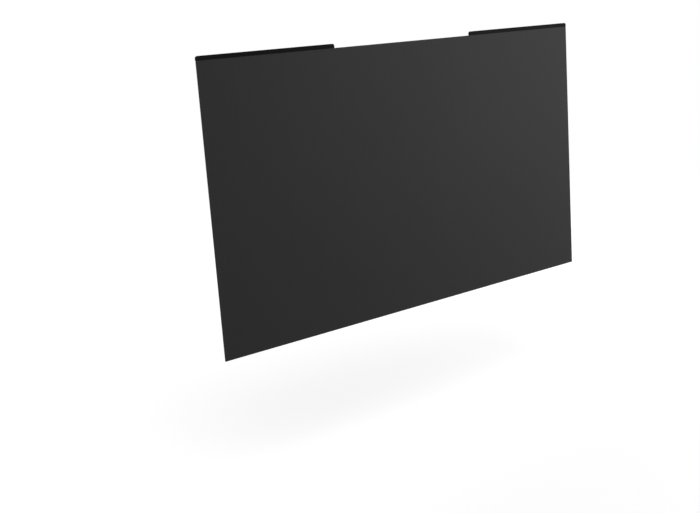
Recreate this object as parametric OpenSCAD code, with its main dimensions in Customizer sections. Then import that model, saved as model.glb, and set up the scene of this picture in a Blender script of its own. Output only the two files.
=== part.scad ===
// Monitor privacy filter: a laminated louvre sheet held by two magnet strips along its top edge.
// Upright, as it hangs in front of a screen: +X to the viewer's right, +Y towards the screen, +Z up.
// The origin is the middle of the whole part's width and depth, at the sheet's bottom edge.

/* [Sheet] */
// Width of the sheet, which covers the screen from side to side
sheet_w = 510; // [380:1:700]
// Height of the sheet, without its tongues
sheet_h = 288; // [200:1:420]
// Thickness of the laminated sheet
sheet_t = 1.0; // [0.6:0.1:2]
// Radius of the sheet's four corners
sheet_r = 0.5; // [0.2:0.1:2]

/* [Strips] */
// Length of each strip
strip_l = 160; // [60:1:180]
// Height of each strip above the sheet's top edge
strip_h = 4.3; // [3.8:0.1:10]
// Distance from each strip's outer end to the sheet's side edge
strip_inset = 0.3; // [0:0.1:12]
// Radius of each strip's two top corners
strip_r = 2.5; // [1:0.1:3]
// Wall in front of the sheet
front_wall = 0.5; // [0.4:0.1:1.5]
// Wall between the sheet's slot and the magnet's pocket
web_wall = 0.4; // [0.3:0.1:1.5]
// Wall at each end of the slot
end_wall = 1.2; // [0.8:0.1:4]
// Radius along the strip's front and back edges, round its ends and top
edge_r = 0.3; // [0.1:0.05:0.4]
// Chamfer along the front wall's lower edge
lip_chamfer = 0.15; // [0.05:0.05:0.25]
// Chamfer that leads the tongue into its slot, along the web's lower edge
mouth_chamfer = 0.15; // [0.05:0.05:0.25]

/* [Tongues and tape] */
// Height of the sheet's tongues, which fill the slots
tongue_h = 3.2; // [2:0.1:3.4]
// Radius of each tongue's top corners
tongue_r = 1.0; // [0.3:0.1:1.4]
// Thickness of the double-sided tape between tongue and web
tape_t = 0.1; // [0.05:0.05:0.5]
// Distance from the tape's long edges to the tongue's top and to the level of the sheet's top edge
tape_edge_gap = 0.3; // [0.1:0.1:0.8]
// Distance from each end of the tongue to the tape
tape_end_gap = 1.5; // [1:0.1:10]

/* [Magnets] */
// Height of the magnet bars
magnet_h = 2.8; // [1.5:0.1:3]
// Thickness of the magnet bars
magnet_t = 0.8; // [0.5:0.1:2]
// Height of the magnet bar's lower edge above the sheet's top edge
magnet_z = 0.65; // [0.4:0.05:0.75]
// How far the magnet stands proud of the strip's back
magnet_proud = 0.1; // [0:0.05:0.3]
// Distance from each end of the strip to the magnet
magnet_end_gap = 1.6; // [1.2:0.1:10]
// Radius of the magnet's corners
magnet_r = 0.4; // [0.1:0.1:0.7]

/* [Clearances] */
// Gap between the tongue's face and the front wall
face_clear = 0.05; // [0.02:0.01:0.2]
// Gap between each end of the tongue and its slot
end_clear = 0.1; // [0.05:0.05:0.5]
// Gap between the magnet's edges and its pocket
pocket_clear = 0.05; // [0.02:0.01:0.15]
// Gap between the tongue's top and the slot's roof
roof_clear = 0.15; // [0.05:0.05:0.2]

/* [Hidden] */
$fn = 48;

// Depths from the strip's front face back
slot_d = face_clear + sheet_t + tape_t;
pocket_d = magnet_t - magnet_proud;
strip_d = front_wall + slot_d + web_wall + pocket_d;
total_d = strip_d + magnet_proud;

// Places along Y, with the whole part centred on Y = 0
front_y = -total_d / 2;
sheet_y = front_y + front_wall + face_clear;
tape_y = sheet_y + sheet_t;
web_y = tape_y + tape_t;
magnet_y = web_y + web_wall;

// Places along X and Z
strip_x = sheet_w / 2 - strip_inset - strip_l / 2;
tongue_l = strip_l - 2 * (end_wall + end_clear);
tape_l = tongue_l - 2 * tape_end_gap;
tape_h = tongue_h - 2 * tape_edge_gap;
magnet_l = strip_l - 2 * magnet_end_gap;

// Cuts run past the faces that they open by this much
over = 1;

// A rectangle centred on X, with its lower edge on Y = 0 and round corners
module round_rect(w, h, r) {
    translate([-w / 2 + r, 0]) square([w - 2 * r, h]);
    translate([-w / 2, r]) square([w, h - 2 * r]);
    for (x = [-w / 2 + r, w / 2 - r], y = [r, h - r])
        translate([x, y]) circle(r);
}

// Stands an outline up in the XZ plane and gives it depth t towards +Y
module upright(t) {
    translate([0, t, 0]) rotate([90, 0, 0]) linear_extrude(t) children();
}

// The tongue's outline on the sheet's edge, or its slot's with gaps at the ends and the top.
// It runs down past the edge, so that only the top corners are round.
module tongue_outline(end_gap = 0, top_gap = 0) {
    r = tongue_r + end_gap;
    below = r + over;
    translate([0, -below]) round_rect(tongue_l + 2 * end_gap, below + tongue_h + top_gap, r);
}

// Cuts a 45 degree chamfer along the X edge at [y, z] of the strip
module edge_chamfer(y, z, size) {
    side = size * sqrt(2);
    translate([0, y, z]) rotate([45, 0, 0]) cube([strip_l + 2 * over, side, side], center = true);
}

// Puts a child on the strip's place at the left (-1) or right (1) half of the top edge
module at_strip(side) {
    translate([side * strip_x, 0, sheet_h]) children();
}

// The strip's section at its rim: X runs outwards from the centre of its corners, Y from front to back
module rim_section() {
    square([strip_r - edge_r, strip_d]);
    translate([0, edge_r]) square([strip_r, strip_d - 2 * edge_r]);
    for (y = [edge_r, strip_d - edge_r])
        translate([strip_r - edge_r, y]) circle(edge_r);
}

// The strip before it is hollowed: a core, with the rim's section run up each end, turned round
// the top corners and run along the top
module strip_blank() {
    core_l = strip_l - 2 * strip_r;
    core_h = strip_h - strip_r;
    translate([-core_l / 2, 0, 0]) cube([core_l, strip_d, core_h]);
    // Along the top
    translate([-core_l / 2, 0, core_h])
        rotate([90, 0, 90]) linear_extrude(core_l) mirror([1, -1]) rim_section();
    for (end = [0, 1])
        mirror([end, 0, 0]) translate([core_l / 2, 0, 0]) {
            // Up the end
            linear_extrude(core_h) rim_section();
            // Round the corner
            translate([0, 0, core_h])
                rotate([90, 0, 0]) mirror([0, 0, 1])
                    rotate_extrude(angle = 90) rim_section();
        }
}

module strip(side) {
    color([0.09, 0.09, 0.09])
    at_strip(side)
    translate([0, front_y, 0])
    difference() {
        strip_blank();
        // Slot for the sheet's tongue, open at the bottom
        translate([0, front_wall, 0]) upright(slot_d) tongue_outline(end_clear, roof_clear);
        // Pocket for the magnet, open at the back
        translate([0, strip_d - pocket_d, magnet_z - pocket_clear])
            upright(pocket_d + over)
                round_rect(magnet_l + 2 * pocket_clear, magnet_h + 2 * pocket_clear, magnet_r + pocket_clear);
        // Chamfer where the front wall meets the sheet's face
        edge_chamfer(0, 0, lip_chamfer);
        // Lead-in at the slot's mouth
        edge_chamfer(front_wall + slot_d, 0, mouth_chamfer);
    }
}

module filter_sheet() {
    color([0.22, 0.22, 0.22])
    translate([0, sheet_y, 0]) upright(sheet_t) {
        round_rect(sheet_w, sheet_h, sheet_r);
        for (side = [-1, 1])
            translate([side * strip_x, sheet_h]) tongue_outline();
    }
}

module magnet(side) {
    color([0.2, 0.18, 0.17])
    at_strip(side)
    translate([0, magnet_y, magnet_z]) upright(magnet_t) round_rect(magnet_l, magnet_h, magnet_r);
}

module tape(side) {
    color([0.8, 0.78, 0.7])
    at_strip(side)
    translate([-tape_l / 2, tape_y, tape_edge_gap]) cube([tape_l, tape_t, tape_h]);
}

filter_sheet();
strip(-1);  // left_strip
strip(1);  // right_strip
magnet(-1);  // left_magnet
magnet(1);  // right_magnet
tape(-1);  // left_tape
tape(1);  // right_tape
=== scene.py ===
"""Monitor privacy filter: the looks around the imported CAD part.

The seven CAD nodes show themselves. This script gives each a procedural material and adds the
camera, the pale floor and the soft studio light. All lengths are in metres, in the part's frame:
+X to the viewer's right, +Y towards the screen, +Z up, with the sheet's bottom edge at Z = 0.
"""
import math

import bpy
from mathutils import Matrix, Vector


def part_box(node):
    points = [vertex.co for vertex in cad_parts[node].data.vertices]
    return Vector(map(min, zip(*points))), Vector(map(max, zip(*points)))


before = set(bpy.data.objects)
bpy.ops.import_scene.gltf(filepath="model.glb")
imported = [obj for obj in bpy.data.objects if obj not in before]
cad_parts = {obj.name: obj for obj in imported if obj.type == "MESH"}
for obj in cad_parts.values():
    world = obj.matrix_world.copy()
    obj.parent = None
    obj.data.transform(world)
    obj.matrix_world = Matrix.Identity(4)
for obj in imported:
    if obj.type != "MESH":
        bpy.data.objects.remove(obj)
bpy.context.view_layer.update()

MM = 0.001

# Camera, from the photograph's perspective: its turn is in degrees, its lens and sensor in mm
CAMERA_PLACE = (-0.7710, -0.8774, 0.3172)
CAMERA_TURN = (77.573, 4.028, -38.5705)
CAMERA_LENS = 55.93
SENSOR_WIDTH = 36.0
CLIP_START = 0.01
CLIP_END = 60

# Floor: it turns into the white background between two distances from the part
FLOOR_Z = -0.15
FLOOR_HALF = 9.0
FLOOR_COLOUR = (0.86, 0.86, 0.86, 1)
FLOOR_LIFT = 0.35
FADE_START = 0.6
FADE_END = 2.0

# Light: the world's strength on the part, and each lamp's place, size and watts
WORLD_LIGHT = 0.5
LAMP_TARGET = (0, 0, 0.15)
LAMPS = {
    "key": ((-1.3, -1.9, 2.3), (2.2, 2.2), 29),
    "fill": ((1.5, -1.25, 0.35), (1.4, 1.0), 9),
    "back": ((0.9, 2.3, 1.9), (2.0, 2.0), 12),
    "back_fill": ((1.4, 1.5, 0.45), (1.4, 1.1), 11),
}


# Node helpers

class Tree:
    """A node tree that is built step by step. Most calls add a node and return its output."""

    def __init__(self, owner):
        owner.use_nodes = True
        self.owner = owner
        self.tree = owner.node_tree
        self.tree.nodes.clear()

    def feed(self, socket, value):
        """Links the socket to another node's output, or sets a plain value on it."""
        if isinstance(value, bpy.types.NodeSocket):
            self.tree.links.new(value, socket)
        else:
            socket.default_value = value

    def add(self, kind, inputs=None, out=0, **settings):
        node = self.tree.nodes.new(kind)
        for name, value in settings.items():
            setattr(node, name, value)
        for name, value in (inputs or {}).items():
            self.feed(node.inputs[name], value)
        return node.outputs[out]

    def end(self, kind, surface):
        """Joins the finished surface to an output node, and returns what the tree belongs to."""
        output = self.tree.nodes.new(kind)
        self.feed(output.inputs["Surface"], surface)
        return self.owner

    def position(self):
        return self.add("ShaderNodeNewGeometry", out="Position")

    def along(self, axis, place):
        return self.add("ShaderNodeSeparateXYZ", {0: place}, out=axis)

    def math(self, operation, a, b=0.0):
        return self.add("ShaderNodeMath", {0: a, 1: b}, operation=operation)

    def total(self, *parts):
        """The sum of several values, each times its weight."""
        terms = [self.math("MULTIPLY", value, weight) for value, weight in parts]
        result = terms[0]
        for term in terms[1:]:
            result = self.math("ADD", result, term)
        return result

    def fade(self, value, start, end, low=0.0, high=1.0, kind="SMOOTHSTEP"):
        """low before start, high after end, and a smooth way between them."""
        return self.add("ShaderNodeMapRange", {"Value": value, "From Min": start, "From Max": end,
                                               "To Min": low, "To Max": high},
                        interpolation_type=kind, clamp=True)

    def band(self, value, start, end, soft):
        """1 between start and end and 0 outside them, with soft ends inside the band."""
        rise = self.fade(value, start, start + soft)
        fall = self.fade(value, end - soft, end, 1.0, 0.0)
        return self.math("MULTIPLY", rise, fall)

    def noise(self, place, cells, detail=2.0, roughness=0.5):
        """Noise with this many cells per metre, or, from three numbers, along X, Y and Z."""
        if isinstance(cells, tuple):
            place = self.add("ShaderNodeVectorMath", {0: place, 1: cells}, operation="MULTIPLY")
            cells = 1.0
        return self.add("ShaderNodeTexNoise", {"Vector": place, "Scale": cells, "Detail": detail,
                                               "Roughness": roughness})

    def blend(self, factor, a, b):
        """Colour a where factor is 0 and colour b where it is 1."""
        node = self.tree.nodes.new("ShaderNodeMix")
        node.data_type = "RGBA"
        inputs = {socket.identifier: socket for socket in node.inputs}
        outputs = {socket.identifier: socket for socket in node.outputs}
        self.feed(inputs["Factor_Float"], factor)
        self.feed(inputs["A_Color"], a)
        self.feed(inputs["B_Color"], b)
        return outputs["Result_Color"]


def grey(value):
    """A neutral colour, in linear light as all colours here are."""
    return (value, value, value, 1)


def seen(tree):
    """1 for a ray that shows the background, 0 for one that lights the object."""
    path = tree.add("ShaderNodeLightPath").node
    both = tree.math("MAXIMUM", path.outputs["Is Camera Ray"], path.outputs["Is Glossy Ray"])
    return tree.math("MAXIMUM", both, path.outputs["Is Transmission Ray"])


# Camera and stage

WHITE = grey(1)


def make_camera():
    data = bpy.data.cameras.new("camera")
    data.sensor_fit = "HORIZONTAL"
    data.sensor_width = SENSOR_WIDTH
    data.lens = CAMERA_LENS
    data.clip_start = CLIP_START
    data.clip_end = CLIP_END
    camera = bpy.data.objects.new("camera", data)
    camera.location = CAMERA_PLACE
    camera.rotation_euler = [math.radians(angle) for angle in CAMERA_TURN]
    bpy.context.scene.collection.objects.link(camera)
    bpy.context.scene.camera = camera


def make_world():
    """White where it is seen, and a plain soft light on the part."""
    tree = Tree(bpy.data.worlds.new("studio"))
    strength = tree.fade(seen(tree), 0.0, 1.0, WORLD_LIGHT, 1.0, kind="LINEAR")
    shown = tree.add("ShaderNodeBackground", {"Color": WHITE, "Strength": strength})
    bpy.context.scene.world = tree.end("ShaderNodeOutputWorld", shown)


def floor_material():
    """Pale and matte near the part, where it keeps the shadow, and white further out."""
    tree = Tree(bpy.data.materials.new("floor"))
    show = seen(tree)
    far = tree.add("ShaderNodeVectorMath", {0: tree.position()}, out="Value", operation="LENGTH")
    matte = tree.add("ShaderNodeBsdfDiffuse", {"Color": FLOOR_COLOUR})
    lift = tree.add("ShaderNodeEmission", {"Color": WHITE,
                                           "Strength": tree.math("MULTIPLY", show, FLOOR_LIFT)})
    near = tree.add("ShaderNodeAddShader", {0: matte, 1: lift})
    white = tree.add("ShaderNodeEmission", {"Color": WHITE, "Strength": 1.0})
    share = tree.math("MULTIPLY", show, tree.fade(far, FADE_START, FADE_END))
    surface = tree.add("ShaderNodeMixShader", {0: share, 1: near, 2: white})
    return tree.end("ShaderNodeOutputMaterial", surface)


def make_floor():
    mesh = bpy.data.meshes.new("floor")
    corners = [(-FLOOR_HALF, -FLOOR_HALF), (FLOOR_HALF, -FLOOR_HALF),
               (FLOOR_HALF, FLOOR_HALF), (-FLOOR_HALF, FLOOR_HALF)]
    mesh.from_pydata([(x, y, FLOOR_Z) for x, y in corners], [], [(0, 1, 2, 3)])
    mesh.materials.append(floor_material())
    floor = bpy.data.objects.new("floor", mesh)
    bpy.context.scene.collection.objects.link(floor)


def make_lamp(name, place, size, watts):
    """A soft rectangular lamp that faces the target and isn't seen itself."""
    data = bpy.data.lights.new(name, "AREA")
    data.shape = "RECTANGLE"
    data.size, data.size_y = size
    data.energy = watts
    lamp = bpy.data.objects.new(name, data)
    lamp.location = place
    x, y, z = (there - here for here, there in zip(place, LAMP_TARGET))
    lamp.rotation_euler = (math.atan2(math.hypot(x, y), -z), 0, math.atan2(-x, y))
    lamp.visible_camera = False
    bpy.context.scene.collection.objects.link(lamp)


# Materials

# Noise lies mostly within one of these spans, which is then spread over a whole range of tone or
# roughness. Noise itself is in cells per metre.
TONE_SPAN = (0.35, 0.65)
GRAIN_SPAN = (0.3, 0.7)


def finished(tree, colour, roughness, height, relief, specular):
    """The material, with a surface that rises by relief metres where height goes from 0 to 1."""
    normal = tree.add("ShaderNodeBump", {"Height": height, "Distance": relief, "Strength": 1.0})
    shader = tree.add("ShaderNodeBsdfPrincipled", {"Base Color": colour, "Roughness": roughness,
                                                   "Normal": normal, "Specular IOR Level": specular})
    return tree.end("ShaderNodeOutputMaterial", shader)


# Sheet: a skin on each face looks like the face, and the films show between it and the core
SHEET_DARK = grey(0.0085)
SHEET_LIGHT = grey(0.0110)
FILM_COLOUR = grey(0.045)
CORE_COLOUR = grey(0.006)
LOUVRE_PITCH = 0.12 * MM
LOUVRE_SHARE = 0.4
STREAK_CELLS = (1400.0, 30.0, 2.0)
STREAK_HEIGHT = 0.3
DRIFT_CELLS = 7.0
ANTI_GLARE_CELLS = 8000.0
ANTI_GLARE_ROUGHNESS = 0.03
SKIN = 0.01 * MM
SKIN_FADE = 0.02 * MM
FILM = 0.20 * MM
FILM_FADE = 0.04 * MM
FRONT_ROUGHNESS = 0.46
BACK_ROUGHNESS = 0.24


def laminate():
    """Dark louvre laminate: matte towards the viewer, satin towards the screen, with its films
    showing as layers along the cut edges."""
    low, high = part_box("filter_sheet")
    thickness = high.y - low.y
    tree = Tree(bpy.data.materials.new("sheet_laminate"))
    place = tree.position()
    # The upright louvres show through as fine even lines, with faint streaks and a slow drift of
    # tone over them, under the anti-glare grain
    turns = tree.math("MULTIPLY", tree.along("X", place), 2 * math.pi / LOUVRE_PITCH)
    louvres = tree.fade(tree.math("SINE", turns), -1.0, 1.0)
    streaks = tree.noise(place, STREAK_CELLS, detail=1.0)
    drift = tree.noise(place, DRIFT_CELLS)
    grain = tree.noise(place, ANTI_GLARE_CELLS)
    uneven = tree.fade(tree.total((streaks, 0.5), (drift, 0.5)), *TONE_SPAN)
    tone = tree.total((uneven, 1 - LOUVRE_SHARE), (louvres, LOUVRE_SHARE))
    face = tree.blend(tone, SHEET_DARK, SHEET_LIGHT)
    # Layers across the thickness, from the viewer's face: cover film, louvre core, cover film
    depth = tree.math("SUBTRACT", tree.along("Y", place), low.y)
    on_edge = tree.band(depth, SKIN, thickness - SKIN, SKIN_FADE)
    in_core = tree.band(depth, FILM, thickness - FILM, FILM_FADE)
    colour = tree.blend(on_edge, face, tree.blend(in_core, FILM_COLOUR, CORE_COLOUR))
    even = tree.fade(depth, SKIN_FADE, thickness - SKIN_FADE, FRONT_ROUGHNESS, BACK_ROUGHNESS)
    rough = tree.math("ADD", even, tree.fade(grain, *GRAIN_SPAN, -ANTI_GLARE_ROUGHNESS,
                                             ANTI_GLARE_ROUGHNESS))
    height = tree.total((grain, 1.0), (streaks, STREAK_HEIGHT))
    return finished(tree, colour, rough, height, relief=0.006 * MM, specular=0.17)


# Strips: handling polishes them between two distances below their top
STRIP_DARK = grey(0.0018)
STRIP_LIGHT = grey(0.0028)
STRIP_ROUGHNESS = (0.40, 0.50)
SPARK_CELLS = 5200.0
FLOW_CELLS = (40.0, 300.0, 300.0)
POLISH = 0.10
POLISH_START = 0.6 * MM
POLISH_FULL = 0.1 * MM


def strip_plastic():
    """Satin black moulded plastic with a fine spark-eroded texture, polished a little by handling
    along its top."""
    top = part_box("left_strip")[1].z
    tree = Tree(bpy.data.materials.new("strip_plastic"))
    place = tree.position()
    texture = tree.noise(place, SPARK_CELLS, roughness=0.6)
    flow = tree.noise(place, FLOW_CELLS)
    colour = tree.blend(tree.fade(flow, *TONE_SPAN), STRIP_DARK, STRIP_LIGHT)
    handled = tree.fade(tree.along("Z", place), top - POLISH_START, top - POLISH_FULL)
    moulded = tree.fade(texture, *GRAIN_SPAN, *STRIP_ROUGHNESS)
    rough = tree.total((moulded, 1.0), (handled, -POLISH))
    return finished(tree, colour, rough, texture, relief=0.030 * MM, specular=0.045)


# Magnets: drawn out along their length
MAGNET_DARK = (0.022, 0.019, 0.0175, 1)
MAGNET_LIGHT = (0.036, 0.032, 0.029, 1)
MAGNET_ROUGHNESS = (0.62, 0.78)
SPECK_CELLS = 3800.0
DRAWN_CELLS = (25.0, 900.0, 2600.0)
DRAWN_HEIGHT = 0.8


def magnet_rubber():
    """Flexible magnet: ferrite powder in rubber, dull and slightly grainy."""
    tree = Tree(bpy.data.materials.new("magnet_rubber"))
    place = tree.position()
    specks = tree.noise(place, SPECK_CELLS, detail=3.0, roughness=0.7)
    drawn = tree.noise(place, DRAWN_CELLS)
    tone = tree.fade(tree.total((specks, 0.5), (drawn, 0.5)), *TONE_SPAN)
    colour = tree.blend(tone, MAGNET_DARK, MAGNET_LIGHT)
    rough = tree.fade(specks, *GRAIN_SPAN, *MAGNET_ROUGHNESS)
    height = tree.total((specks, 1.0), (drawn, DRAWN_HEIGHT))
    return finished(tree, colour, rough, height, relief=0.012 * MM, specular=0.35)


# Tapes
TAPE_DARK = (0.56, 0.53, 0.43, 1)
TAPE_LIGHT = (0.64, 0.61, 0.52, 1)
TAPE_ROUGHNESS = (0.35, 0.50)
CLOUD_CELLS = 900.0


def bonding_tape():
    """Double-sided tape: milky acrylic glue on a thin film."""
    tree = Tree(bpy.data.materials.new("bonding_tape"))
    cloud = tree.noise(tree.position(), CLOUD_CELLS, detail=3.0)
    colour = tree.blend(tree.fade(cloud, *GRAIN_SPAN), TAPE_DARK, TAPE_LIGHT)
    rough = tree.fade(cloud, *GRAIN_SPAN, *TAPE_ROUGHNESS)
    return finished(tree, colour, rough, cloud, relief=0.01 * MM, specular=0.5)


make_camera()
make_world()
make_floor()
for name, (place, size, watts) in LAMPS.items():
    make_lamp(name, place, size, watts)

# A node's material goes by the last word of its name
FINISHES = {
    "sheet": laminate(),
    "strip": strip_plastic(),
    "magnet": magnet_rubber(),
    "tape": bonding_tape(),
}
for name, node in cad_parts.items():
    for slot in node.material_slots:
        slot.material = FINISHES[name.split("_")[-1]]

bpy.context.scene.view_settings.view_transform = "Standard"
